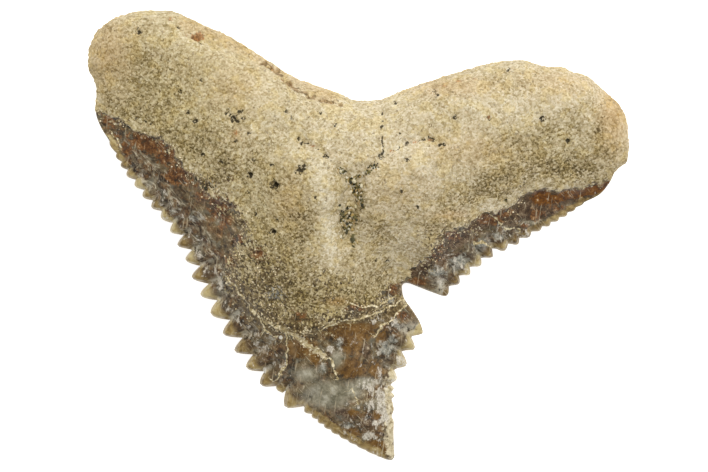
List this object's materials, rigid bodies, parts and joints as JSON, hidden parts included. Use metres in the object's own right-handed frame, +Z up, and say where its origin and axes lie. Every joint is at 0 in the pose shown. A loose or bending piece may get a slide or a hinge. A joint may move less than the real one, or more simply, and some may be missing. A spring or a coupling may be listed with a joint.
{
  "type": "fossil shark tooth",
  "caption": "Fossil tiger shark tooth lying flat: thick two-lobed bone root and a thin, leaning crown with a notched, serrated cutting edge.",
  "frame": {"origin": "on the surface the tooth lies on, under the middle of its bounding box", "axes": "+X along the width, from the front (mesial) root lobe to the heel; +Y from the tip of the crown to the root; +Z up, out of the inner (lingual) face"},
  "size_m": [0.028, 0.0234, 0.0062],
  "materials": {
    "fossil": "matte sandy root, satin enamel"
  },
  "bodies": {
    "root": {"tooth": "fossil"}
  },
  "joints": []
}
